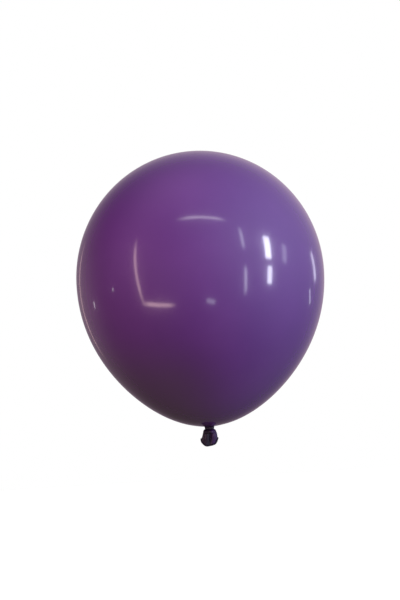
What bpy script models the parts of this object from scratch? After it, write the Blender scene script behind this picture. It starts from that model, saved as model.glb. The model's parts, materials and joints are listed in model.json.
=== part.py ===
"""An inflated and tied round latex balloon, about 30 cm across.

The real thing is one dipped moulding with a knot in its neck. Here each region that has its own
construction, or that moves against its neighbour, is one named object:

    envelope        the inflated film, open at the neck
    neck_collar     the ring of gathered film at the mouth of the envelope
    neck_throat     the pleated bundle between the collar and the knot
    knot_wrap       the turn of the neck that goes round the knot
    knot_core       the strand that is pulled through that turn
    tail_stem       the strand below the knot
    tail_skirt      the flattened, flared end of the neck
    rolled_lip      the bead rolled on the end of the neck

Metres, +Z up. The origin is on the balloon's axis, level with the lowest point of the lip.
The tail's wide side lies along X.
"""

import math

import bmesh
import bpy

# Inflated body
ENVELOPE_RADIUS = 0.150
CROWN_HEIGHT = 1.026 * ENVELOPE_RADIUS  # widest level to crown: half an ellipse
LOWER_HEIGHT = 1.203 * ENVELOPE_RADIUS  # widest level to neck
LOWER_TAPER = 0.135  # how much slimmer than an ellipse the lower half is, at the neck
LOWER_TAPER_POWER = 2.5
FILM_WALL = 0.0004
CROWN_PAD_RADIUS = 0.006  # flat spot of thicker film at the crown
WIDEST_BAND = 0.008  # height of the straight band at the widest level
ENVELOPE_STEPS = 48
UPPER_RINGS = 11
LOWER_RINGS = 13

# Tail: the knot and everything below it
TAIL_LENGTH = 0.0240
GAP = 0.0003  # between neighbouring pieces
ROUND_STEPS = 32
PLEATS = 8

# Neck, whose two hinges cross at its pivot
NECK_HOLE_RADIUS = 0.0080
COLLAR_OUTER_RADIUS = 0.0073
COLLAR_INNER_RADIUS = 0.0057
COLLAR_HALF_HEIGHT = 0.0006
THROAT_BALL_RADIUS = COLLAR_INNER_RADIUS - GAP
THROAT_PLEAT_DEPTH = 0.0004
THROAT_LENGTH = 0.0030  # pivot to the throat's lower end
THROAT_LOWER_RADIUS = 0.0048
THROAT_WAIST_SHARE = 0.65  # how far down the throat its half-way radius is
PLEAT_TOP_SHARE = 0.3  # height of the pleats' upper end, as a share of the ball's radius

# Knot
KNOT_LOOP_RADIUS = 0.0046
KNOT_STRAND_RADIUS = 0.0025
KNOT_TILT = math.radians(8)
KNOT_DROP = 0.0064  # pivot to the middle of the knot
CORE_STEPS = 8
CORE_END_SHARE = 0.55  # how far the core's two ends spread towards the strand's middle line

# Stem, whose ball is the centre of the tail's hinge
STEM_BALL_RADIUS = 0.0036
STEM_STALK_RADIUS = 0.0026
STEM_DROP = 0.0125  # neck pivot to the middle of the ball

# Skirt and lip
BEAD_RADIUS = 0.0010
TAIL_HALF_WIDTH = 0.0111
RIM_RISE = 0.0078  # lip's lowest point to its highest, at the two sides
SKIRT_WALL = 0.0005
SKIRT_HALF_DEPTH = 0.0046
SKIRT_TOP_HALF_WIDTH = 0.0082
SKIRT_FLAT_SHARE = 0.77  # cosine of the angle where the flat front and back begin
SKIRT_ROWS = 8
MOUTH_ROUNDNESS = 0.2  # how softly the mouth turns at its two sides
LIP_POINTS = 48

NECK_LEVEL = TAIL_LENGTH
WIDEST_LEVEL = NECK_LEVEL + LOWER_HEIGHT
NECK_PIVOT = NECK_LEVEL + GAP
KNOT_LEVEL = NECK_PIVOT - KNOT_DROP
STEM_LEVEL = NECK_PIVOT - STEM_DROP
LIP_WIDE_LEVEL = BEAD_RADIUS + RIM_RISE
BEAD_HALF_WIDTH = TAIL_HALF_WIDTH - BEAD_RADIUS

# Pigmented latex: it darkens where the film is gathered and thick
FILM_COLOUR = (0.125, 0.022, 0.215, 1)
GATHER_COLOUR = (0.030, 0.008, 0.060, 1)
KNOT_COLOUR = (0.022, 0.006, 0.040, 1)
LIP_COLOUR = (0.016, 0.004, 0.028, 1)


def clear_scene():
    for obj in list(bpy.data.objects):
        bpy.data.objects.remove(obj, do_unlink=True)


def make_collection(name):
    collection = bpy.data.collections.new(name)
    bpy.context.scene.collection.children.link(collection)
    return collection


def make_material(name, colour, roughness):
    material = bpy.data.materials.new(name)
    material.use_nodes = True
    shader = material.node_tree.nodes["Principled BSDF"]
    shader.inputs["Base Color"].default_value = colour
    shader.inputs["Roughness"].default_value = roughness
    shader.inputs["Metallic"].default_value = 0.0
    return material


def add_object(name, mesh, collection, material, height=0.0):
    """Links a mesh, modelled around its own joint's height, into the collection."""
    obj = bpy.data.objects.new(name, mesh)
    obj.location.z = height
    mesh.materials.append(material)
    collection.objects.link(obj)
    return obj


def smooth(mesh, crease_degrees=35):
    mesh.shade_smooth()
    mesh.set_sharp_from_angle(angle=math.radians(crease_degrees))


def profile_mesh(name, points, closed=False):
    """A chain of edges in the XZ plane, from (radius, height) pairs."""
    mesh = bpy.data.meshes.new(name)
    edges = [(i, i + 1) for i in range(len(points) - 1)]
    if closed:
        edges.append((len(points) - 1, 0))
    mesh.from_pydata([(r, 0.0, z) for r, z in points], edges, [])
    return mesh


def add_screw(obj, steps):
    screw = obj.modifiers.new("Turn", "SCREW")
    screw.steps = steps
    screw.render_steps = steps
    screw.use_merge_vertices = True
    screw.merge_threshold = 0.00001
    return screw


def frozen_copy(obj):
    """The object's evaluated mesh as a new mesh, so that its points can be moved by a rule."""
    graph = bpy.context.evaluated_depsgraph_get()
    graph.update()
    return bpy.data.meshes.new_from_object(obj.evaluated_get(graph))


def turned_mesh(name, points, steps, closed=False):
    """A solid of revolution about Z, as a plain mesh."""
    guide = bpy.data.objects.new(name, profile_mesh(name, points, closed))
    bpy.context.scene.collection.objects.link(guide)
    add_screw(guide, steps)
    mesh = frozen_copy(guide)
    bpy.data.objects.remove(guide, do_unlink=True)
    return mesh


def arc(radius, start_degrees, end_degrees, count, height=0.0):
    """Points on a circle about the axis, with 90 degrees at the top and 0 level with the centre."""
    points = []
    for i in range(count + 1):
        angle = math.radians(start_degrees + (end_degrees - start_degrees) * i / count)
        points.append((radius * math.cos(angle), height + radius * math.sin(angle)))
    return points


def flute(mesh, top, bottom, depth):
    """Pulls the wall in and out round the axis, so that the bundle shows its pleats."""
    for vertex in mesh.vertices:
        x, y, z = vertex.co
        radius = math.hypot(x, y)
        if radius < 0.0005 or not bottom - 1e-7 <= z <= top + 1e-7:
            continue
        scale = 1 + depth * (math.cos(PLEATS * math.atan2(y, x)) - 1) / 2 / radius
        vertex.co.x = x * scale
        vertex.co.y = y * scale


def envelope_profile():
    """Outer side of the inflated film from crown to neck."""
    half_band = WIDEST_BAND / 2
    points = [(0.0, 0.0)]
    first = math.asin(CROWN_PAD_RADIUS / ENVELOPE_RADIUS)
    last = math.pi / 2
    for i in range(UPPER_RINGS):
        angle = first + (last - first) * i / UPPER_RINGS
        height = WIDEST_LEVEL + CROWN_HEIGHT * math.cos(angle)
        points.append((ENVELOPE_RADIUS * math.sin(angle), height))
    points[0] = (0.0, points[1][1])
    points.append((ENVELOPE_RADIUS, WIDEST_LEVEL + half_band))
    points.append((ENVELOPE_RADIUS, WIDEST_LEVEL - half_band))
    final = math.acos(NECK_HOLE_RADIUS / ENVELOPE_RADIUS / (1 - LOWER_TAPER))
    for i in range(1, LOWER_RINGS + 1):
        angle = final * i / LOWER_RINGS
        depth = math.sin(angle)
        taper = 1 - LOWER_TAPER * depth**LOWER_TAPER_POWER
        points.append((ENVELOPE_RADIUS * math.cos(angle) * taper, WIDEST_LEVEL - LOWER_HEIGHT * depth))
    return points


def make_envelope(collection):
    material = make_material("envelope_film", FILM_COLOUR, 0.12)
    mesh = profile_mesh("envelope", envelope_profile())
    envelope = add_object("envelope", mesh, collection, material)
    # Half a step round, so that a flat facet and not an edge faces each of the four sides.
    envelope.rotation_euler.z = math.pi / ENVELOPE_STEPS
    add_screw(envelope, ENVELOPE_STEPS)
    shell = envelope.modifiers.new("Film", "SOLIDIFY")
    shell.thickness = FILM_WALL
    shell.offset = -1
    return envelope


def make_neck_collar(collection):
    """A slice of a thick ball shell about the neck's pivot, so that it tips without touching."""
    outer = math.degrees(math.asin(COLLAR_HALF_HEIGHT / COLLAR_OUTER_RADIUS))
    inner = math.degrees(math.asin(COLLAR_HALF_HEIGHT / COLLAR_INNER_RADIUS))
    points = arc(COLLAR_OUTER_RADIUS, outer, -outer, 2) + arc(COLLAR_INNER_RADIUS, -inner, inner, 2)
    mesh = turned_mesh("neck_collar", points, ROUND_STEPS, closed=True)
    smooth(mesh)
    material = make_material("neck_collar_latex", GATHER_COLOUR, 0.25)
    return add_object("neck_collar", mesh, collection, material, NECK_PIVOT)


def make_neck_throat(collection):
    """The ball sits inside the collar, and the pleated bundle leads down from it to the knot."""
    points = arc(THROAT_BALL_RADIUS, 90, -12, 8)
    points.append(((THROAT_BALL_RADIUS + THROAT_LOWER_RADIUS) / 2, -THROAT_WAIST_SHARE * THROAT_LENGTH))
    points.append((THROAT_LOWER_RADIUS, -THROAT_LENGTH))
    points.append((0.0, -THROAT_LENGTH))
    points[0] = (0.0, THROAT_BALL_RADIUS)
    mesh = turned_mesh("neck_throat", points, ROUND_STEPS)
    flute(mesh, PLEAT_TOP_SHARE * THROAT_BALL_RADIUS, -THROAT_LENGTH, THROAT_PLEAT_DEPTH)
    smooth(mesh)
    material = make_material("neck_throat_latex", GATHER_COLOUR, 0.25)
    return add_object("neck_throat", mesh, collection, material, NECK_PIVOT)


def make_knot_wrap(collection):
    bpy.ops.mesh.primitive_torus_add(
        major_segments=ROUND_STEPS,
        minor_segments=12,
        major_radius=KNOT_LOOP_RADIUS,
        minor_radius=KNOT_STRAND_RADIUS,
        location=(0, 0, KNOT_LEVEL),
        rotation=(0, KNOT_TILT, 0),
    )
    wrap = bpy.context.active_object
    wrap.name = "knot_wrap"
    wrap.data.name = "knot_wrap"
    smooth(wrap.data)
    wrap.data.materials.append(make_material("knot_wrap_latex", KNOT_COLOUR, 0.25))
    for owner in list(wrap.users_collection):
        owner.objects.unlink(wrap)
    collection.objects.link(wrap)
    return wrap


def knot_core_profile():
    """Follows the inside of the wrapped turn at an even gap, with room for its tilt."""
    room = GAP + KNOT_LOOP_RADIUS * math.sin(KNOT_TILT) / 2
    reach = KNOT_STRAND_RADIUS + room
    top = KNOT_DROP - THROAT_LENGTH - GAP
    bottom = -(STEM_DROP - KNOT_DROP - STEM_BALL_RADIUS) + 2 * GAP
    points = [(0.0, top)]
    for i in range(CORE_STEPS + 1):
        height = top + (bottom - top) * i / CORE_STEPS
        radius = KNOT_LOOP_RADIUS - math.sqrt(max(reach**2 - height**2, 0.0))
        points.append((min(radius, KNOT_LOOP_RADIUS - reach * CORE_END_SHARE), height))
    points.append((0.0, bottom))
    return points


def make_knot_core(collection):
    mesh = turned_mesh("knot_core", knot_core_profile(), ROUND_STEPS // 2)
    smooth(mesh)
    material = make_material("knot_core_latex", KNOT_COLOUR, 0.25)
    return add_object("knot_core", mesh, collection, material, KNOT_LEVEL)


def make_tail_stem(collection):
    """A short stalk on a ball. The ball is the centre of the tail's hinge."""
    stalk_top = STEM_BALL_RADIUS + GAP
    shoulder = math.degrees(math.acos(STEM_STALK_RADIUS / STEM_BALL_RADIUS))
    points = [(0.0, stalk_top), (STEM_STALK_RADIUS, stalk_top)]
    points += arc(STEM_BALL_RADIUS, shoulder, -90, 9)
    points[-1] = (0.0, -STEM_BALL_RADIUS)
    mesh = turned_mesh("tail_stem", points, ROUND_STEPS)
    smooth(mesh)
    material = make_material("tail_stem_latex", KNOT_COLOUR, 0.3)
    return add_object("tail_stem", mesh, collection, material, STEM_LEVEL)


def rim_drop(angle):
    """0 at the sides of the mouth, 1 at its front and back, with a rounded turn at the sides."""
    raw = math.sqrt(math.cos(angle) ** 2 + MOUTH_ROUNDNESS**2) - MOUTH_ROUNDNESS
    return raw / (math.sqrt(1 + MOUTH_ROUNDNESS**2) - MOUTH_ROUNDNESS)


def flattened(angle, half_depth):
    """Y of the flattened tube: round at the sides, straight across the front and back."""
    limit = SKIRT_FLAT_SHARE
    return half_depth * max(-1.0, min(1.0, math.cos(angle) / limit))


def skirt_point(around, down):
    """around and down run from 0 to 1, round the tube and from its upper edge to its mouth."""
    angle = 2 * math.pi * around
    clear = BEAD_RADIUS + GAP + 0.0001
    mouth_half_width = BEAD_HALF_WIDTH - clear
    half_width = SKIRT_TOP_HALF_WIDTH + (mouth_half_width - SKIRT_TOP_HALF_WIDTH) * down
    rim_level = LIP_WIDE_LEVEL - (RIM_RISE - clear) * rim_drop(angle)
    top_level = STEM_LEVEL + GAP
    x = half_width * math.sin(angle)
    y = flattened(angle, SKIRT_HALF_DEPTH)
    return x, y, top_level + (rim_level - top_level) * down


def make_tail_skirt(collection):
    """A grid wrapped into a flattened tube, which the film's wall then thickens inwards."""
    build = bmesh.new()
    bmesh.ops.create_grid(build, x_segments=ROUND_STEPS, y_segments=SKIRT_ROWS, size=0.5)
    for vertex in build.verts:
        x, y, z = skirt_point(vertex.co.x + 0.5, 0.5 - vertex.co.y)
        vertex.co = (x, y, z - STEM_LEVEL)
    bmesh.ops.remove_doubles(build, verts=build.verts, dist=0.00001)
    bmesh.ops.recalc_face_normals(build, faces=build.faces)
    mesh = bpy.data.meshes.new("tail_skirt")
    build.to_mesh(mesh)
    build.free()
    smooth(mesh)
    material = make_material("tail_skirt_latex", KNOT_COLOUR, 0.28)
    skirt = add_object("tail_skirt", mesh, collection, material, STEM_LEVEL)
    shell = skirt.modifiers.new("Wall", "SOLIDIFY")
    shell.thickness = SKIRT_WALL
    shell.offset = -1
    return skirt


def make_rolled_lip(collection):
    curve = bpy.data.curves.new("rolled_lip", "CURVE")
    curve.dimensions = "3D"
    curve.bevel_depth = BEAD_RADIUS
    curve.bevel_resolution = 2
    spline = curve.splines.new("POLY")
    spline.points.add(LIP_POINTS - 1)
    spline.use_cyclic_u = True
    middle_depth = SKIRT_HALF_DEPTH - SKIRT_WALL / 2
    for i, point in enumerate(spline.points):
        angle = 2 * math.pi * i / LIP_POINTS
        x = BEAD_HALF_WIDTH * math.sin(angle)
        y = flattened(angle, middle_depth)
        z = LIP_WIDE_LEVEL - RIM_RISE * rim_drop(angle)
        point.co = (x, y, z - STEM_LEVEL, 1)
    lip = bpy.data.objects.new("rolled_lip", curve)
    lip.location.z = STEM_LEVEL
    curve.materials.append(make_material("rolled_lip_latex", LIP_COLOUR, 0.2))
    collection.objects.link(lip)
    return lip


def main():
    clear_scene()
    balloon = make_collection("latex_balloon")
    make_envelope(balloon)
    make_neck_collar(balloon)
    make_neck_throat(balloon)
    make_knot_wrap(balloon)
    make_knot_core(balloon)
    make_tail_stem(balloon)
    make_tail_skirt(balloon)
    make_rolled_lip(balloon)


main()
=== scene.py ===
"""The look of an inflated and tied purple latex balloon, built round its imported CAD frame.

The film of the body, the pleated neck, the knot, the flared tail and its rolled lip are fine meshes that
replace the plain CAD solids. Everything is in metres, +Z up, with the flat front of the tail facing -Y.
"""

import json
import math

import bmesh
import bpy
import numpy as np
from mathutils import Matrix, Vector


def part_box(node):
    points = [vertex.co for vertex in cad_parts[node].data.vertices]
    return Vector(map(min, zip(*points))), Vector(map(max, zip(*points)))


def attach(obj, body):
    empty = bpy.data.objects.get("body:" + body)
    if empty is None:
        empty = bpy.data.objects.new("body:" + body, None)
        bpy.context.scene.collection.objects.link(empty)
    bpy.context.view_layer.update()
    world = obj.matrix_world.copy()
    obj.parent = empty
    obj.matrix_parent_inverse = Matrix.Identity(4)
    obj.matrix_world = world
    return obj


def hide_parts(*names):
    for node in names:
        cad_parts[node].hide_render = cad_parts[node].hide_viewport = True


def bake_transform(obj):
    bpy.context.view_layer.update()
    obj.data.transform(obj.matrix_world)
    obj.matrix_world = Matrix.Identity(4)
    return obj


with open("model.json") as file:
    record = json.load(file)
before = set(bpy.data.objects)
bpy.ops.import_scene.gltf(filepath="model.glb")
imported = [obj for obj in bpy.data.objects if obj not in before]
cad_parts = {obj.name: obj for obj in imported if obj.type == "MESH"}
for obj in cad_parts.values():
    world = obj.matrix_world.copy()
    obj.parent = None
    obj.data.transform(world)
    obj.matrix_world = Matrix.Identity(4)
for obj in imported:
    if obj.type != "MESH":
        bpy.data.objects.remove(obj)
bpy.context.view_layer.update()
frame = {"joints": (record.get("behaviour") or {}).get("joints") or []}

MM = 0.001
CIRCLE = 2 * math.pi
REST_PLACE = "rest_place"

# ---------------------------------------------------------------- dimensions, from the frame
JOINT_HEIGHTS = {joint["name"]: joint["pos_m"][2] for joint in frame["joints"]}
TAIL_PIVOT = JOINT_HEIGHTS["tail_flap"]
FILM_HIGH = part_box("envelope")[1]
LIP_LOW, LIP_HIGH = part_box("rolled_lip")

CAD_SIDES = 48  # the CAD body's facets, whose flats lie a little inside the true circle
RADIUS = FILM_HIGH.x / math.cos(math.pi / CAD_SIDES)
CROWN_RATIO = 1.026  # height of the crown over the widest level, in radii
LOWER_RATIO = 1.203  # depth of the neck under the widest level, in radii
TAPER = 0.135  # how much slimmer than an ellipse the lower half is at its end
TAPER_POWER = 2.5
WIDEST = FILM_HIGH.z - CROWN_RATIO * RADIUS
NECK = WIDEST - LOWER_RATIO * RADIUS

# Body film
FUNNEL_RADIUS = 8.6 * MM  # where the film leaves the body's curve and turns down into the neck
FUNNEL_BEND = ((6.6 * MM, -0.12 * MM), (5.7 * MM, -0.3 * MM))  # radius, height of the curve's two handles
THROAT_RADIUS = 5.3 * MM
FILM_END = NECK - 1.5 * MM
FILM_ROWS = 150
FUNNEL_ROWS = 18
FILM_COLUMNS = 264
FILM_WALL = 0.22 * MM
FILM_BEND_START = NECK + 3.0 * MM
FILM_BEND_END = NECK - 1.2 * MM
OVAL_SWELL = 0.0012  # share of the radius
THREE_SIDED_SWELL = 0.0008
CROWN_SPOT = (0.25 * MM, 2.5 * MM, 7 * MM)  # height, full radius, outer radius of the thick spot
GATHER_INNER = 6 * MM  # folds are at their deepest inside this radius
GATHER_OUTER = 24 * MM  # and have faded out at this one
GATHER_DEPTH = (0.04, 0.30)  # faint part, steep part, in millimetres

# Neck
NECK_FOLDS = 19
NECK_FOLD_PHASE = 0.4
PLEAT_TOP = FILM_END + 0.4 * MM
PLEAT_BOTTOM = NECK - 6.0 * MM
PLEAT_BEND_END = NECK - 4.0 * MM
PLEAT_OUTSIDE = 0.12 * MM  # how far the neck stands outside the end of the film
PLEAT_WAIST = 1.1 * MM  # how much it narrows towards the knot
PLEAT_TWIST = 0.5

# Knot
KNOT_MIDDLE = NECK - 6.4 * MM
KNOT_RADIUS = 4.7 * MM
KNOT_TUCKED_RADIUS = 1.4 * MM
KNOT_FIRST_ANGLE = math.radians(205)
KNOT_SWEEP = math.radians(450)
KNOT_RISE = 1.3 * MM
KNOT_TILT = 0.5 * MM
STRAND_WIDE = 3.2 * MM
STRAND_TALL = 2.8 * MM
STRAND_END_SIZE = 0.62
TUCK_LENGTH = 0.2  # share of the strand that each tucked end takes
CORE_TOP = NECK - 4.2 * MM
CORE_LENGTH = 5.0 * MM
CORE_RADIUS = 4.2 * MM
CORE_NARROWING = 1.8 * MM

# Tail
TAIL_LEAN = 0.17  # sideways run of the tail for each unit of its drop
LEAN_START = NECK - 9.5 * MM
SKIRT_TOP = NECK - 6.0 * MM
SKIRT_OUT = NECK - 7.6 * MM  # level where the skirt has spread to the knot's own width
SKIRT_ROWS = 84
SKIRT_COLUMNS = 288
SKIRT_WALL = 0.45 * MM
SKIRT_BEND_START = TAIL_PIVOT + 3.0 * MM
SKIRT_BEND_END = TAIL_PIVOT - 2.0 * MM
TUCKED_WIDTH = 3.0 * MM
SHOULDER_WIDTH = 8.0 * MM
SHELL_FULLNESS = 0.86  # 1 would give the flattened tube an elliptical section
VALLEY_X = 1.1 * MM  # the crease down the tail's front
BACK_FOLDS = ((-3.6 * MM, 1.8 * MM), (3.2 * MM, 1.6 * MM))  # X and width of the two folds behind
STEM_TOP = NECK - 6.4 * MM
STEM_LENGTH = 5.0 * MM
STEM_BEND = (NECK - 7.0 * MM, NECK - 10.0 * MM)

# Lip
LIP_RADIUS = 1.05 * MM
LIP_HALF_WIDTH = LIP_HIGH.x - LIP_RADIUS
LIP_HALF_DEPTH = 3.9 * MM
LIP_WIDE = 0.37 * NECK  # level of the lip's two sides
LIP_BOTTOM = LIP_LOW.z + LIP_RADIUS - 0.3 * MM
LIP_BACK_RISE = 1.6 * MM  # how much higher the back of the lip hangs
LIP_CREASE = 0.42
LIP_SECTIONS = 300
ROLL_GROOVES = ((2.2, 0.22, 0.09), (5.2, 0.20, 0.06))  # place round the bead, width, depth


# ---------------------------------------------------------------- mesh helpers
def new_object(name, verts, faces):
    mesh = bpy.data.meshes.new(name)
    mesh.from_pydata(verts, [], faces)
    mesh.shade_smooth()
    obj = bpy.data.objects.new(name, mesh)
    bpy.context.scene.collection.objects.link(obj)
    return obj


def sheet(name, rows, columns, place, ring=False):
    """A tube of quads. place(down, around) gives x, y and z, with both arguments running from 0 to 1.

    ring joins the last row to the first.
    """
    steps = rows if ring else rows + 1
    down = (np.arange(steps) / rows)[:, None]
    around = (np.arange(columns) / columns)[None, :]
    x, y, z = (np.broadcast_to(v, (steps, columns)) for v in place(down, around))
    verts = np.stack([x, y, z], axis=-1).reshape(-1, 3)
    faces = []
    for i in range(rows):
        here = i * columns
        below = (i + 1) % steps * columns
        for j in range(columns):
            k = (j + 1) % columns
            faces.append((here + j, below + j, below + k, here + k))
    obj = new_object(name, verts.tolist(), faces)
    weld(obj.data)
    return obj


def weld(mesh, distance=1e-6):
    build = bmesh.new()
    build.from_mesh(mesh)
    bmesh.ops.remove_doubles(build, verts=build.verts, dist=distance)
    build.to_mesh(mesh)
    build.free()


def cap_ends(obj):
    """Closes a tube's two open ends."""
    build = bmesh.new()
    build.from_mesh(obj.data)
    edges = [edge for edge in build.edges if edge.is_boundary]
    bmesh.ops.holes_fill(build, edges=edges)
    build.to_mesh(obj.data)
    build.free()


def give_wall(obj, thickness):
    """Thickens an open sheet inwards and leaves a plain closed mesh."""
    solid = obj.modifiers.new("Wall", "SOLIDIFY")
    solid.thickness = thickness
    solid.offset = -1
    solid.use_even_offset = True
    solid.use_quality_normals = True
    graph = bpy.context.evaluated_depsgraph_get()
    graph.update()
    mesh = bpy.data.meshes.new_from_object(obj.evaluated_get(graph))
    obj.modifiers.clear()
    obj.data = mesh
    mesh.shade_smooth()


def bend(obj, first, second, start, end):
    """Bakes the piece's place into its mesh; the piece is not bent. The two bodies and two heights it is
    given are not used.
    """
    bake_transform(obj)


def keep_rest_place(obj):
    """Stores where each vertex is at rest, so that a material stays on its piece when a joint moves."""
    mesh = obj.data
    places = np.empty(3 * len(mesh.vertices), dtype=np.float32)
    mesh.vertices.foreach_get("co", places)
    mesh.attributes.new(REST_PLACE, "FLOAT_VECTOR", "POINT").data.foreach_set("vector", places)


def smoothstep(low, high, value):
    t = np.clip((value - low) / (high - low), 0, 1)
    return t * t * (3 - 2 * t)


def bezier(t, a, b, c, d):
    s = 1 - t
    return s**3 * a + 3 * s * s * t * b + 3 * s * t * t * c + t**3 * d


def round_axis(radius, angle, z):
    return radius * np.cos(angle), radius * np.sin(angle), z + 0 * angle


def pleats(angle, count, phase=0.0):
    """Irregular folds round a gathered bundle, between -1 and 1, with narrow valleys."""
    wave = np.cos(count * angle + phase + 0.6 * np.sin(3 * angle + phase))
    detail = 0.35 * np.cos((2 * count - 3) * angle + 2.1 + phase)
    return np.clip((wave + detail) / 1.2, -1, 1)


# ---------------------------------------------------------------- the body's film
def body_radius_and_height(turn):
    """turn runs from 0 at the crown, through 1 at the widest level, to 2 at the neck."""
    upper = np.clip(turn, 0, 1) * math.pi / 2
    lower = np.clip(turn - 1, 0, 1) * math.pi / 2
    depth = np.sin(lower)
    radius = RADIUS * np.sin(upper) * np.cos(lower) * (1 - TAPER * depth**TAPER_POWER)
    height = WIDEST + CROWN_RATIO * RADIUS * np.cos(upper) - LOWER_RATIO * RADIUS * depth
    return radius, height


def film_place(down, around):
    """The body's film from its crown, round the turn at the neck, and a little way down the neck."""
    share = FUNNEL_ROWS / FILM_ROWS
    end_turn = 1 + math.acos(FUNNEL_RADIUS / RADIUS / (1 - TAPER)) / (math.pi / 2)
    body = np.clip(down / (1 - share), 0, 1)
    radius, height = body_radius_and_height(body * end_turn)
    edge_radius, edge_height = body_radius_and_height(np.array(end_turn))
    t = np.clip((down - (1 - share)) / share, 0, 1)
    (upper_r, upper_z), (lower_r, lower_z) = FUNNEL_BEND
    funnel_r = bezier(t, edge_radius, upper_r, lower_r, THROAT_RADIUS + 0.05 * MM)
    funnel_z = bezier(t, edge_height, edge_height + upper_z, NECK + lower_z, FILM_END)
    radius = np.where(t > 0, funnel_r, radius)
    height = np.where(t > 0, funnel_z, height)
    angle = around * CIRCLE
    # Blown film is never quite round: slow swells, and the small thick spot at the crown.
    swell = 1 + OVAL_SWELL * np.cos(2 * angle + 0.7) * np.sin(math.pi * body)
    swell = swell + THREE_SIDED_SWELL * np.cos(3 * angle + 5 * body) * np.sin(math.pi * body)
    spot_height, spot_inner, spot_outer = CROWN_SPOT
    spot = spot_height * (1 - smoothstep(spot_inner, spot_outer, radius)) * (height > WIDEST)
    # Folds that gather towards the neck: up and down on the flat underside, in and out on the neck.
    near = (1 - smoothstep(GATHER_INNER, GATHER_OUTER, radius)) * (height < WIDEST)
    depth = (GATHER_DEPTH[0] + GATHER_DEPTH[1] * near) * near * MM
    fold = depth * pleats(angle, NECK_FOLDS, NECK_FOLD_PHASE)
    flat = smoothstep(5.5 * MM, 8 * MM, radius)
    radius = radius * swell + fold * (1 - flat)
    height = height + spot - fold * flat
    return round_axis(radius, angle, height)


def make_film():
    film = sheet("balloon_film", FILM_ROWS, FILM_COLUMNS, film_place)
    give_wall(film, FILM_WALL)
    bend(film, "envelope", "collar", FILM_BEND_START, FILM_BEND_END)
    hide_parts("envelope", "neck_collar")
    return film


# ---------------------------------------------------------------- neck and knot
def make_neck_pleats():
    """The gathered neck between the body and the knot."""

    def place(down, around):
        angle = around * CIRCLE
        twist = PLEAT_TWIST * down * down
        radius = THROAT_RADIUS + PLEAT_OUTSIDE - PLEAT_WAIST * smoothstep(0.25, 1.0, down)
        depth = (0.34 + 0.11 * down) * MM
        radius = radius + depth * pleats(angle + twist, NECK_FOLDS, NECK_FOLD_PHASE)
        return round_axis(radius, angle, PLEAT_TOP + (PLEAT_BOTTOM - PLEAT_TOP) * down)

    neck = sheet("neck_pleats", 24, 190, place)
    cap_ends(neck)
    bend(neck, "collar", "knot", PLEAT_TOP, PLEAT_BEND_END)
    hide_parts("neck_throat")
    return neck


def strand(name, path, size, sections, columns, ridges, ridge_depth):
    """A pleated strand swept along path(t), with t from 0 to 1.

    size(t) gives its half widths across the path and along Z.
    """
    t = np.linspace(0, 1, sections + 1)
    points = np.stack(path(t), axis=-1)
    ahead = np.gradient(points, axis=0)
    ahead /= np.linalg.norm(ahead, axis=1)[:, None]
    side = np.cross(ahead, np.array([0.0, 0.0, 1.0]))
    side /= np.linalg.norm(side, axis=1)[:, None]
    top = np.cross(side, ahead)
    wide, tall = size(t)

    def place(down, around):
        angle = around * CIRCLE
        i = np.rint(down[:, 0] * sections).astype(int)
        ridge = 1 + ridge_depth * pleats(angle + 1.6 * down, ridges, 1.1)
        across = (wide[i][:, None] * np.cos(angle) * ridge)[..., None]
        along = (tall[i][:, None] * np.sin(angle) * ridge)[..., None]
        p = points[i][:, None, :] + across * side[i][:, None, :] + along * top[i][:, None, :]
        return p[..., 0], p[..., 1], p[..., 2]

    obj = sheet(name, sections, columns, place)
    cap_ends(obj)
    return obj


def make_knot_turn():
    """One turn of the gathered neck round itself, with both ends tucked into the middle."""

    def out_of_tuck(t):
        return smoothstep(0, TUCK_LENGTH, t) * (1 - smoothstep(1 - TUCK_LENGTH, 1.0, t))

    def path(t):
        angle = KNOT_FIRST_ANGLE + t * KNOT_SWEEP
        radius = KNOT_TUCKED_RADIUS + (KNOT_RADIUS - KNOT_TUCKED_RADIUS) * out_of_tuck(t)
        tilt = KNOT_TILT * (np.sin(angle) - np.cos(angle))
        return round_axis(radius, angle, KNOT_MIDDLE + KNOT_RISE * (1 - 2 * t) + tilt)

    def size(t):
        full = STRAND_END_SIZE + (1 - STRAND_END_SIZE) * out_of_tuck(t)
        pinch = 1 + 0.05 * np.cos(9 * t + 1)
        return STRAND_WIDE * full * pinch, STRAND_TALL * full

    wrap = strand("knot_turn", path, size, sections=220, columns=72, ridges=9, ridge_depth=0.045)
    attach(wrap, "knot")
    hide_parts("knot_wrap")
    return wrap


def make_knot_core():
    """The bundle that runs down through the knot."""

    def place(down, around):
        angle = around * CIRCLE
        radius = CORE_RADIUS - CORE_NARROWING * smoothstep(0.1, 0.8, down)
        radius = radius + 0.3 * MM * pleats(angle + 0.8 * down, 13, 0.9)
        return round_axis(radius, angle, CORE_TOP - CORE_LENGTH * down)

    core = sheet("knot_core_bundle", 24, 130, place)
    cap_ends(core)
    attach(core, "knot")
    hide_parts("knot_core")
    return core


# ---------------------------------------------------------------- tail
def lean(z):
    """Sideways shift of the tail at a height: none at the knot, growing towards the lip."""
    drop = np.maximum(LEAN_START - z, 0)
    return -TAIL_LEAN * drop * drop / (drop + 1.0 * MM)


def front_share(angle):
    """1 on the front of the tail, 0 on its back."""
    return 0.5 - 0.5 * np.tanh(4 * np.sin(angle))


def side_reach(half_width, angle):
    """X of the flattened tube, a little fuller than an ellipse."""
    return half_width * np.sign(np.cos(angle)) * np.abs(np.cos(angle)) ** SHELL_FULLNESS


def fold_in(x, front, strength):
    """The lengthwise folds of the flattened tail: one crease down its front, two shallow ones behind."""
    crease = np.exp(-np.abs((x - VALLEY_X) / (1.7 * MM)) ** 1.6)
    behind = sum(np.exp(-(((x - middle) / width) ** 2)) for middle, width in BACK_FOLDS)
    return 1 - strength * (front * crease + (1 - front) * 0.6 * behind)


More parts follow.
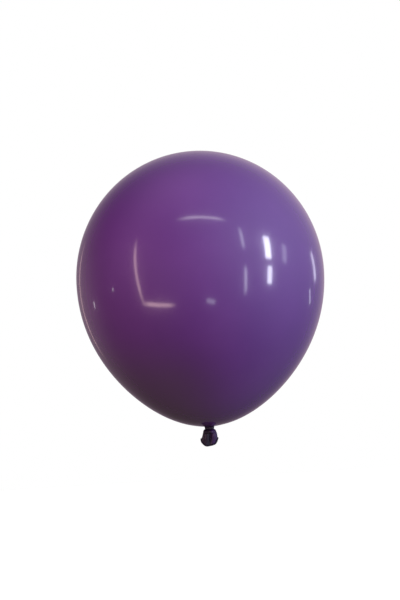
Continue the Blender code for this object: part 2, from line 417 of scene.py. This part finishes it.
def rim_share(angle):
    """0 at the two sides of the mouth, 1 at its front and back."""
    soft = 0.18
    return (np.sqrt(np.sin(angle) ** 2 + soft**2) - soft) / (math.sqrt(1 + soft**2) - soft)


def rim_point(angle):
    """Middle line of the lip. Angle 0 is at +X, and -Y is the front."""
    share = rim_share(angle)
    front = front_share(angle)
    x = side_reach(LIP_HALF_WIDTH, angle)
    bottom = LIP_BOTTOM + LIP_BACK_RISE * (1 - front)
    z = LIP_WIDE - (LIP_WIDE - bottom) * share
    z = z + 0.25 * MM * share * np.sin(5 * angle + 0.8)
    # The mouth hangs fuller on its right, which evens out the lean.
    fuller = 0.55 + 0.60 * np.tanh(x / (3.0 * MM))
    z = z - fuller * MM * 4 * share * (1 - share)
    y = LIP_HALF_DEPTH * np.sin(angle) * fold_in(x, front, LIP_CREASE)
    return x, y, z


def skirt_half_width(z):
    """Outline of the tail: tucked under the knot, out to the knot's width, then a slow flare to the lip."""
    out = np.clip((SKIRT_TOP - z) / (SKIRT_TOP - SKIRT_OUT), 0, 1)
    shoulder = TUCKED_WIDTH + (SHOULDER_WIDTH - TUCKED_WIDTH) * np.sqrt(1 - (1 - out) ** 2)
    flare = np.clip((SKIRT_OUT - z) / (SKIRT_OUT - LIP_WIDE), 0, 1)
    return shoulder + (LIP_HALF_WIDTH - 0.1 * MM - SHOULDER_WIDTH) * flare**0.8


def skirt_place(down, around):
    angle = around * CIRCLE
    rim_z = rim_point(angle)[2]
    front = front_share(angle)
    drop = 0.25 * down + 0.75 * down**1.25
    z = SKIRT_TOP + (rim_z - SKIRT_TOP) * drop
    half_depth = (2.4 + 3.0 * smoothstep(0, 0.22, down) - 1.5 * smoothstep(0.3, 1, down)) * MM
    crease = 0.30 + 0.28 * smoothstep(0.1, 0.35, down) - 0.16 * smoothstep(0.5, 1, down)
    x = side_reach(skirt_half_width(z), angle)
    y = half_depth * np.sin(angle) * fold_in(x, front, crease)
    # Fine gathers under the knot give way to a few long folds, and both end at the lip.
    gather = 0.34 * MM * (1 - smoothstep(0.12, 0.8, down)) * pleats(angle, 17, 0.2)
    long_fold = 0.22 * MM * smoothstep(0.2, 0.5, down) * pleats(angle, 7, 1.0)
    fold = (gather + long_fold) * (1 - smoothstep(0.9, 1.0, down))
    return x + fold * np.cos(angle) + lean(z), y + fold * np.sin(angle), z


def make_skirt():
    skirt = sheet("tail_flare", SKIRT_ROWS, SKIRT_COLUMNS, skirt_place)
    give_wall(skirt, SKIRT_WALL)
    bend(skirt, "stem", "tail", SKIRT_BEND_START, SKIRT_BEND_END)
    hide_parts("tail_skirt")
    return skirt


def make_stem():
    """The flat strand inside the tail, between the knot and the tail, with pleats that turn along it."""

    def place(down, around):
        angle = around * CIRCLE
        radius = (2.4 - 1.2 * down**2) * MM + 0.2 * MM * pleats(angle + 1.2 * down, 9, 0.3)
        x, y, z = round_axis(radius, angle, STEM_TOP - STEM_LENGTH * down)
        return x, 0.5 * y, z

    stem = sheet("stem_bundle", 20, 90, place)
    cap_ends(stem)
    bend(stem, "knot", "stem", *STEM_BEND)
    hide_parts("tail_stem")
    return stem


def make_lip():
    """The bead: the end of the neck rolled on itself, so its section shows the turns of the roll."""
    angle = np.arange(LIP_SECTIONS) / LIP_SECTIONS * CIRCLE
    x, y, z = rim_point(angle)
    points = np.stack([x + lean(z), y, z], axis=-1)
    ahead = np.roll(points, -1, axis=0) - np.roll(points, 1, axis=0)
    ahead /= np.linalg.norm(ahead, axis=1)[:, None]
    outward = np.stack([np.cos(angle), 0.8 * np.sin(angle), np.full(LIP_SECTIONS, -0.4)], axis=-1)
    outward -= (outward * ahead).sum(axis=1)[:, None] * ahead
    outward /= np.linalg.norm(outward, axis=1)[:, None]
    across = np.cross(ahead, outward)
    thickness = LIP_RADIUS * (0.95 + 0.04 * np.cos(7 * angle) + 0.03 * np.cos(17 * angle + 1))

    def place(down, around):
        i = np.rint(down[:, 0] * LIP_SECTIONS).astype(int) % LIP_SECTIONS
        turn = around * CIRCLE
        groove = 1
        for middle, width, depth in ROLL_GROOVES:
            groove = groove - depth * np.exp(-(((turn - middle) / width) ** 2))
        size = thickness[i][:, None] * groove
        p = points[i][:, None, :] + (size * np.cos(turn))[..., None] * outward[i][:, None, :]
        p = p + (size * np.sin(turn))[..., None] * across[i][:, None, :]
        return p[..., 0], p[..., 1], p[..., 2]

    lip = sheet("rolled_bead", LIP_SECTIONS, 36, place, ring=True)
    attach(lip, "tail")
    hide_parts("rolled_lip")
    return lip


# ---------------------------------------------------------------- materials
FILM_COLOUR = (0.125, 0.022, 0.215, 1)
FILM_DEEP = (0.090, 0.014, 0.165, 1)
FILM_PALE = (0.150, 0.030, 0.245, 1)
# Painted light: the film is redder on the left and bluer on the right, for how the light falls across the
# body.
FILM_LEFT_PAINTED_LIGHT = (0.132, 0.011, 0.188, 1)
FILM_RIGHT_PAINTED_LIGHT = (0.112, 0.020, 0.240, 1)
# Painted shade: a greyer, darker purple for low on the left of the body.
FILM_LOW_LEFT_PAINTED_SHADE = (0.108, 0.032, 0.145, 1)
# Near-black of thick latex, also used as painted shade round the gathered neck and in the neck's latex.
GATHER_THICK_AND_SHADE_COLOUR = (0.012, 0.004, 0.020, 1)
LATEX_COLOUR = (0.055, 0.012, 0.105, 1)
# Painted shade: the darker latex colours below stand for shaded latex on the neck, the tail left of its
# crease and the lip.
LATEX_PAINTED_SHADE = (0.011, 0.004, 0.016, 1)
LIP_PAINTED_SHADE = (0.006, 0.002, 0.012, 1)

FILM_ROUGHNESS = (0.18, 0.25)
GLOSS_ROUGHNESS = (0.04, 0.06)
NECK_ROUGHNESS = 0.32
TAIL_ROUGHNESS = 0.30
LIP_ROUGHNESS = 0.25
WRINKLE_SCALE = 700.0
LIP_WRINKLE_SCALE = 900.0
LENGTHWISE = (1.0, 1.0, 0.22)  # stretches a pattern along Z


class Nodes:
    """Short calls for building a node tree."""

    def __init__(self, tree):
        self.tree = tree

    def add(self, kind, **settings):
        node = self.tree.nodes.new(kind)
        for key, value in settings.items():
            setattr(node, key, value)
        return node

    def feed(self, socket, value):
        if hasattr(value, "links"):
            self.tree.links.new(value, socket)
        else:
            socket.default_value = value

    def math(self, operation, *values):
        node = self.add("ShaderNodeMath", operation=operation)
        for socket, value in zip(node.inputs, values):
            self.feed(socket, value)
        return node.outputs[0]

    def mix(self, factor, first, second):
        node = self.add("ShaderNodeMix", data_type="RGBA")
        self.feed(node.inputs["Factor"], factor)
        self.feed(node.inputs[6], first)
        self.feed(node.inputs[7], second)
        return node.outputs[2]

    def noise(self, vector, scale, detail, roughness):
        node = self.add("ShaderNodeTexNoise")
        self.feed(node.inputs["Vector"], vector)
        node.inputs["Scale"].default_value = scale
        node.inputs["Detail"].default_value = detail
        node.inputs["Roughness"].default_value = roughness
        return node.outputs["Fac"]

    def ramp(self, value, low, high, out_low=0.0, out_high=1.0):
        node = self.add("ShaderNodeMapRange", interpolation_type="SMOOTHSTEP")
        self.feed(node.inputs["Value"], value)
        node.inputs["From Min"].default_value = low
        node.inputs["From Max"].default_value = high
        node.inputs["To Min"].default_value = out_low
        node.inputs["To Max"].default_value = out_high
        return node.outputs["Result"]

    def bump(self, height, strength, distance, normal=None):
        node = self.add("ShaderNodeBump")
        node.inputs["Strength"].default_value = strength
        node.inputs["Distance"].default_value = distance
        self.feed(node.inputs["Height"], height)
        if normal is not None:
            self.feed(node.inputs["Normal"], normal)
        return node.outputs["Normal"]

    def split(self, vector):
        node = self.add("ShaderNodeSeparateXYZ")
        self.feed(node.inputs[0], vector)
        return node.outputs


def start_material(name):
    material = bpy.data.materials.new(name)
    material.use_nodes = True
    nodes = Nodes(material.node_tree)
    shader = material.node_tree.nodes["Principled BSDF"]
    place = nodes.add("ShaderNodeAttribute", attribute_name=REST_PLACE).outputs["Vector"]
    return material, nodes, shader.inputs, place


def painted_low_left_shade(nodes, place):
    """1 low down on the left of the body, where the colour is given a greyer painted shade."""
    x, _, height = nodes.split(place)
    low = nodes.ramp(height, WIDEST - 0.85 * RADIUS, WIDEST - 0.35 * RADIUS, 1.0, 0.0)
    return nodes.math("MULTIPLY", low, nodes.ramp(x, -0.3 * RADIUS, 0.3 * RADIUS, 1.0, 0.0))


def unstretched_and_neck_shade(nodes, place):
    """1 where the film has hardly been stretched, at the gathered neck and the crown. Round the neck the
    colour it drives is also painted shade.
    """
    x, y, height = nodes.split(place)
    square = nodes.math("ADD", nodes.math("POWER", x, 2.0), nodes.math("POWER", y, 2.0))
    from_axis = nodes.math("SQRT", square)
    neck = nodes.ramp(from_axis, 7.5 * MM, 12 * MM, 1.0, 0.0)
    neck = nodes.math("MULTIPLY", neck, nodes.ramp(height, NECK, WIDEST, 1.0, 0.0))
    crown = nodes.ramp(from_axis, 3 * MM, 9 * MM, 1.0, 0.0)
    crown = nodes.math("MULTIPLY", crown, nodes.ramp(height, WIDEST, WIDEST + RADIUS * 0.9))
    return nodes.math("MAXIMUM", neck, nodes.math("MULTIPLY", crown, 0.7))


def film_material():
    """Stretched pigmented latex: cloudy where the film is uneven, darker at the thick crown and neck, with
    painted shade round the neck. Its colour also carries painted light: it shifts from left to right across
    the body, and is greyer and darker low on the left as painted shade.
    """
    material, nodes, inputs, place = start_material("stretched_film")
    cloud = nodes.noise(place, 14.0, 3.0, 0.55)
    colour = nodes.mix(nodes.ramp(cloud, 0.3, 0.7), FILM_DEEP, FILM_PALE)
    colour = nodes.mix(0.6, colour, FILM_COLOUR)
    # Painted light: the colour shifts from left to right across the body.
    painted_light_across = nodes.ramp(nodes.split(place)["X"], -RADIUS, RADIUS)
    colour = nodes.mix(0.6, colour, nodes.mix(painted_light_across, FILM_LEFT_PAINTED_LIGHT, FILM_RIGHT_PAINTED_LIGHT))
    # Painted shade: greyer and darker low on the left of the body.
    colour = nodes.mix(painted_low_left_shade(nodes, place), colour, FILM_LOW_LEFT_PAINTED_SHADE)
    # Darker at the thick crown and neck; at the neck the darkening is also painted shade, darker than thick
    # latex alone.
    thick = unstretched_and_neck_shade(nodes, place)
    colour = nodes.mix(nodes.math("MULTIPLY", thick, 0.9), colour, GATHER_THICK_AND_SHADE_COLOUR)
    nodes.feed(inputs["Base Color"], colour)
    haze = nodes.noise(place, 60.0, 4.0, 0.6)
    nodes.feed(inputs["Roughness"], nodes.ramp(haze, 0.25, 0.75, *FILM_ROUGHNESS))
    gloss = nodes.math("SUBTRACT", 0.95, nodes.math("MULTIPLY", thick, 0.7))
    nodes.feed(inputs["Coat Weight"], gloss)
    nodes.feed(inputs["Coat Roughness"], nodes.ramp(haze, 0.2, 0.8, *GLOSS_ROUGHNESS))
    nodes.feed(inputs["Normal"], nodes.bump(nodes.noise(place, 45.0, 2.0, 0.5), 0.02, 0.4 * MM))
    return material


def latex_material(name, light, deep, roughness, scale):
    """Unstretched latex of the neck, knot and tail: thick, dark and finely wrinkled along its length. Right
    of the tail's crease the lighter colour shows in cloudy patches; left of it the darker colour is painted
    shade, for how the light falls.
    """
    material, nodes, inputs, place = start_material(name)
    stretch = nodes.add("ShaderNodeMapping")
    stretch.inputs["Scale"].default_value = LENGTHWISE
    nodes.feed(stretch.inputs["Vector"], place)
    streak = nodes.noise(stretch.outputs["Vector"], scale, 4.0, 0.6)
    cloud = nodes.noise(place, scale * 0.25, 3.0, 0.5)
    # Painted light and shade: lighter right of the crease, where the light falls, and the darker colour as
    # painted shade left of it.
    painted_lit_side = nodes.ramp(nodes.split(place)["X"], VALLEY_X - 2 * MM, VALLEY_X + 4 * MM)
    patch = nodes.math("MULTIPLY", nodes.ramp(cloud, 0.3, 0.7, 0.5, 1.0), painted_lit_side)
    colour = nodes.mix(patch, deep, light)
    colour = nodes.mix(nodes.ramp(streak, 0.45, 0.7, 0.0, 0.35), colour, deep)
    nodes.feed(inputs["Base Color"], colour)
    nodes.feed(inputs["Roughness"], nodes.ramp(streak, 0.3, 0.7, roughness, roughness + 0.12))
    inputs["Specular IOR Level"].default_value = 0.35
    inputs["Coat Weight"].default_value = 0.25
    inputs["Coat Roughness"].default_value = 0.15
    fine = nodes.noise(place, scale * 5.0, 2.0, 0.5)
    bumps = nodes.bump(streak, 0.35, 0.12 * MM, nodes.bump(fine, 0.12, 0.03 * MM))
    nodes.feed(inputs["Normal"], bumps)
    return material


# ---------------------------------------------------------------- studio
CAMERA_DISTANCE = 1.6
CAMERA_LENS = 78.95
SENSOR_WIDTH = 36
CAMERA_ROLL = math.radians(3.5)
CAMERA_SHIFT = -0.36 * MM
CAMERA_DROP = 26.8 * MM  # the picture's centre is this far below the body's widest level
CENTRE = Vector((0, 0, WIDEST))
ROLLED = Matrix.Rotation(CAMERA_ROLL, 3, "Y")
FLOOR_HALF = 3.0
FLOOR_DROP = 0.45

# Directions below are as the camera sees them: x right, y away, z up.
# Soft light from all round: name, direction, how narrow it is, colour.
ROOM = (
    ("window_side", (0.75, -0.45, 0.50), 2.5, (0.62, 0.71, 0.87)),
    ("right", (1.0, -0.1, -0.1), 2.0, (0.33, 0.34, 0.45)),
    ("front", (-0.10, -0.95, 0.20), 3.0, (0.55, 0.36, 0.58)),
    ("front_low", (0.30, -0.75, -0.60), 16.0, (0.16, 0.10, 0.17)),
    ("left_high", (-0.85, -0.35, 0.35), 8.0, (0.36, 0.17, 0.42)),
    ("left", (-0.9, -0.4, 0.0), 2.5, (0.28, 0.19, 0.18)),
    ("ceiling", (0.3, 0.2, 0.9), 1.6, (0.27, 0.25, 0.32)),
    ("ceiling_left", (-0.30, -0.15, 0.95), 7.0, (0.54, 0.31, 0.58)),
    ("ground", (0.0, -0.2, -1.0), 1.6, (0.13, 0.15, 0.05)),
    ("behind", (0.2, 1.0, 0.2), 5.0, (0.42, 0.32, 0.40)),
    ("behind_left", (-0.75, 0.65, -0.10), 9.0, (0.26, 0.19, 0.22)),
)

# Lamps: name, the two ends of its middle line, width, softness of its edges, brightness, colour.
# Places are in metres from the body's middle.
NEUTRAL = (1.0, 0.95, 1.0)
WARM = (1.0, 0.68, 0.66)
COOL = (0.84, 0.86, 1.0)
LAMPS = (
    ("top_strip", (-0.42, -0.75, 0.87), (0.46, -0.75, 0.87), 0.10, 0.5, 4.0, NEUTRAL),
    ("left_strip", (-0.96, -0.50, 0.60), (-0.88, -0.74, -0.44), 0.09, 0.5, 5.0, WARM),
    ("low_left_strip", (-0.95, -0.69, -0.34), (-0.38, -1.06, -0.38), 0.10, 0.5, 6.5, WARM),
    ("right_strip_high", (0.60, -0.71, 0.79), (0.70, -0.88, 0.40), 0.10, 0.5, 4.2, COOL),
    ("right_strip_low", (0.73, -0.93, 0.23), (0.73, -0.93, -0.26), 0.10, 0.5, 5.0, COOL),
    ("low_spot", (0.07, -1.15, -0.31), (0.27, -1.13, -0.35), 0.13, 0.5, 3.4, COOL),
    ("window_high", (0.96, -0.45, 0.62), (1.02, -0.57, 0.24), 0.17, 0.3, 17.0, COOL),
    ("window_low", (1.04, -0.56, 0.19), (1.04, -0.59, -0.08), 0.13, 0.3, 15.0, COOL),
    ("window_far", (1.10, -0.14, 0.46), (1.16, -0.26, 0.17), 0.16, 0.4, 2.2, COOL),
    ("window_edge", (1.01, 0.60, 0.26), (0.99, 0.67, -0.02), 0.14, 0.3, 2.4, COOL),
    ("window_edge_low", (1.10, 0.46, -0.06), (1.05, 0.55, -0.20), 0.05, 0.3, 3.0, COOL),
    ("left_rim", (-0.76, 0.87, 0.30), (-0.66, 0.90, -0.52), 0.07, 0.5, 1.1, WARM),
    ("left_spot_low", (-1.08, 0.44, -0.27), (-1.08, 0.44, -0.19), 0.05, 0.5, 4.0, NEUTRAL),
    ("left_spot_high", (-1.19, -0.17, -0.17), (-1.19, -0.17, -0.11), 0.05, 0.5, 4.0, NEUTRAL),
)


def seen(direction):
    """A direction as the camera sees it, turned into the object's frame."""
    return ROLLED @ Vector(direction).normalized()


def soft_light(nodes, ray, direction, focus):
    """1 towards a direction, fading to 0 at right angles to it."""
    dot = nodes.add("ShaderNodeVectorMath", operation="DOT_PRODUCT")
    nodes.feed(dot.inputs[0], ray)
    dot.inputs[1].default_value = seen(direction)
    return nodes.math("POWER", nodes.math("MAXIMUM", dot.outputs["Value"], 0.0), focus)


def make_world():
    """The room lights the object and shows in its gloss, and the camera sees a white backdrop."""
    world = bpy.data.worlds.new("studio")
    bpy.context.scene.world = world
    world.use_nodes = True
    tree = world.node_tree
    tree.nodes.clear()
    nodes = Nodes(tree)
    ray = nodes.add("ShaderNodeTexCoord").outputs["Generated"]
    total = (0, 0, 0)
    for _, direction, focus, colour in ROOM:
        add = nodes.add("ShaderNodeVectorMath", operation="MULTIPLY_ADD")
        add.inputs[0].default_value = colour
        nodes.feed(add.inputs[1], soft_light(nodes, ray, direction, focus))
        nodes.feed(add.inputs[2], total)
        total = add.outputs["Vector"]
    room = nodes.add("ShaderNodeBackground")
    nodes.feed(room.inputs["Color"], total)
    backdrop = nodes.add("ShaderNodeBackground")
    backdrop.inputs["Color"].default_value = (1, 1, 1, 1)
    choose = nodes.add("ShaderNodeMixShader")
    path = nodes.add("ShaderNodeLightPath")
    nodes.feed(choose.inputs[0], path.outputs["Is Camera Ray"])
    nodes.feed(choose.inputs[1], room.outputs[0])
    nodes.feed(choose.inputs[2], backdrop.outputs[0])
    nodes.feed(nodes.add("ShaderNodeOutputWorld").inputs[0], choose.outputs[0])


def soft_edges(lamp, softness, brightness):
    """Fades an area lamp towards its ends and its long edges, so that its reflection has no hard border."""
    lamp.use_nodes = True
    nodes = Nodes(lamp.node_tree)
    place = nodes.split(nodes.add("ShaderNodeNewGeometry").outputs["Parametric"])
    strength = brightness
    for axis, edge in (("X", 0.6 * softness), ("Y", softness)):
        off_centre = nodes.math("ABSOLUTE", nodes.math("SUBTRACT", place[axis], 0.5))
        fade = nodes.ramp(off_centre, 0.5 - edge, 0.5, 1.0, 0.0)
        strength = nodes.math("MULTIPLY", strength, fade)
    nodes.feed(lamp.node_tree.nodes["Emission"].inputs["Strength"], strength)


def make_lamps():
    for name, start, end, width, softness, brightness, colour in LAMPS:
        first = CENTRE + ROLLED @ Vector(start)
        last = CENTRE + ROLLED @ Vector(end)
        middle = (first + last) / 2
        lamp = bpy.data.lights.new(name, "AREA")
        lamp.shape = "RECTANGLE"
        lamp.size = (last - first).length
        lamp.size_y = width
        lamp.color = colour
        lamp.energy = math.pi * lamp.size * lamp.size_y
        soft_edges(lamp, softness, brightness)
        obj = bpy.data.objects.new(name, lamp)
        back = (middle - CENTRE).normalized()
        up = back.cross(last - first).normalized()
        side = up.cross(back)
        facing = Matrix((side, up, back)).transposed().to_4x4()
        obj.matrix_world = Matrix.Translation(middle) @ facing
        obj.visible_camera = False
        bpy.context.scene.collection.objects.link(obj)


def make_floor():
    """A pale, matt floor well below the balloon, which hangs in the air."""
    corners = ((-1, -1), (1, -1), (1, 1), (-1, 1))
    verts = [(x * FLOOR_HALF, y * FLOOR_HALF, -FLOOR_DROP) for x, y in corners]
    floor = new_object("studio_floor", verts, [(0, 1, 2, 3)])
    material = bpy.data.materials.new("pale_floor")
    material.use_nodes = True
    inputs = material.node_tree.nodes["Principled BSDF"].inputs
    inputs["Base Color"].default_value = (0.9, 0.9, 0.9, 1)
    inputs["Roughness"].default_value = 0.9
    inputs["Emission Color"].default_value = (1, 1, 1, 1)
    inputs["Emission Strength"].default_value = 1.0
    floor.data.materials.append(material)
    floor.visible_diffuse = False
    floor.visible_glossy = False
    floor.visible_shadow = False


def make_camera():
    data = bpy.data.cameras.new("camera")
    data.lens = CAMERA_LENS
    data.sensor_width = SENSOR_WIDTH
    camera = bpy.data.objects.new("camera", data)
    target = CENTRE + ROLLED @ Vector((CAMERA_SHIFT, 0, -CAMERA_DROP))
    right, up, back = seen((1, 0, 0)), seen((0, 0, 1)), seen((0, -1, 0))
    facing = Matrix((right, up, back)).transposed().to_4x4()
    camera.matrix_world = Matrix.Translation(target + back * CAMERA_DISTANCE) @ facing
    bpy.context.scene.collection.objects.link(camera)
    bpy.context.scene.camera = camera
    bpy.context.scene.view_settings.view_transform = "Standard"
    bpy.context.scene.view_settings.look = "None"


def main():
    film_latex = film_material()
    neck_latex = latex_material("gathered_latex", LATEX_PAINTED_SHADE, GATHER_THICK_AND_SHADE_COLOUR, NECK_ROUGHNESS, WRINKLE_SCALE)
    tail_latex = latex_material("tail_latex", LATEX_COLOUR, LATEX_PAINTED_SHADE, TAIL_ROUGHNESS, WRINKLE_SCALE)
    lip_latex = latex_material("bead_latex", LATEX_PAINTED_SHADE, LIP_PAINTED_SHADE, LIP_ROUGHNESS, LIP_WRINKLE_SCALE)
    for piece, latex in (
        (make_film(), film_latex),
        (make_neck_pleats(), neck_latex),
        (make_knot_turn(), tail_latex),
        (make_knot_core(), tail_latex),
        (make_skirt(), tail_latex),
        (make_stem(), neck_latex),
        (make_lip(), lip_latex),
    ):
        keep_rest_place(piece)
        piece.data.materials.append(latex)
    make_world()
    make_lamps()
    make_floor()
    make_camera()


main()
